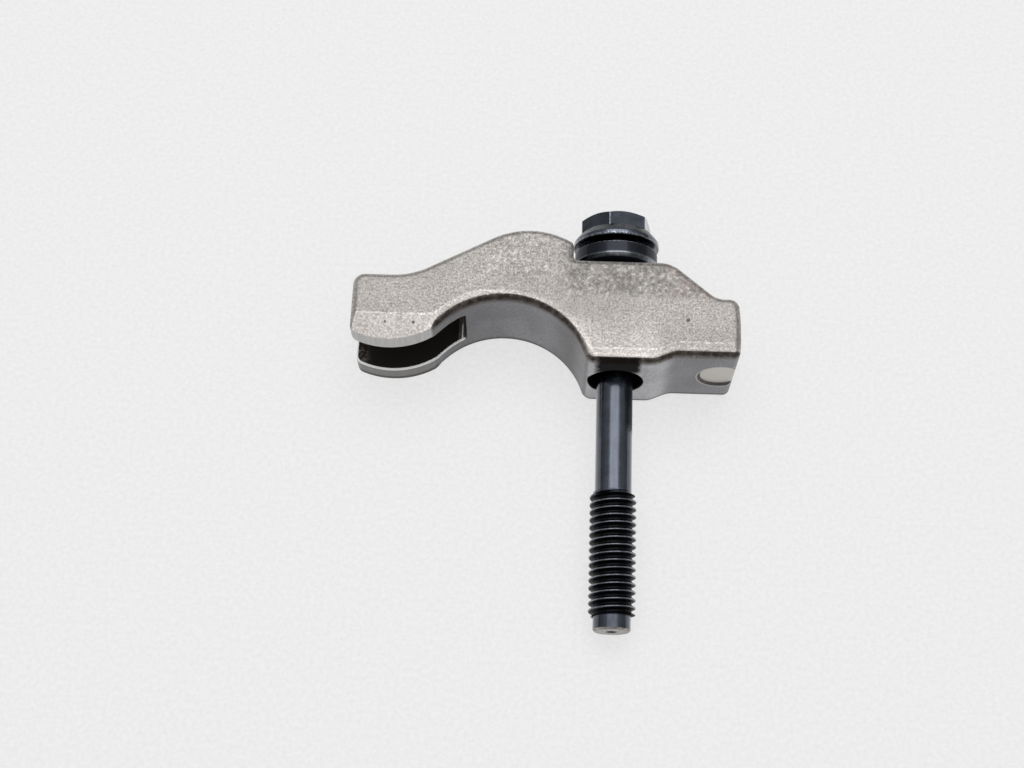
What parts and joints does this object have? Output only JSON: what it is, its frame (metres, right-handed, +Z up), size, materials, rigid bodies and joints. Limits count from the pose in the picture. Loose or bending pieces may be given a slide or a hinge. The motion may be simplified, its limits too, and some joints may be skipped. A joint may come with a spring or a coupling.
{
  "type": "fuel injector clamp",
  "caption": "Forged steel claw with a fork and an arched back, holding a waisted flange bolt and a loose domed washer in its bore.",
  "frame": {"origin": "on the side face that the clamp lies on, under the bore's axis and midway between the bolt seat and the foot of the boss", "axes": "+X along the claw towards the tail, +Y up the bore towards the bolt head, +Z up from the side face"},
  "size_m": [0.0646, 0.0721, 0.017],
  "materials": {
    "forged_steel": "as forged and shot blasted, satin",
    "blackened_steel": "blackened and oiled, semi gloss"
  },
  "bodies": {
    "claw": {"clamp": "forged_steel"},
    "washer_body": {"washer": "blackened_steel"},
    "bolt_body": {"bolt": "blackened_steel"}
  },
  "joints": [
    {"name": "bolt_draw", "type": "slide", "parent": "claw", "child": "washer_body", "axis": [0, 0.9966, 0.0824], "range_m": [-0.0005, 0.0184]},
    {"name": "bolt_turn", "type": "hinge", "parent": "washer_body", "child": "bolt_body", "pos_m": [0, 0.01525, 0.00912], "axis": [0, 0.9966, 0.0824], "continuous": true}
  ]
}
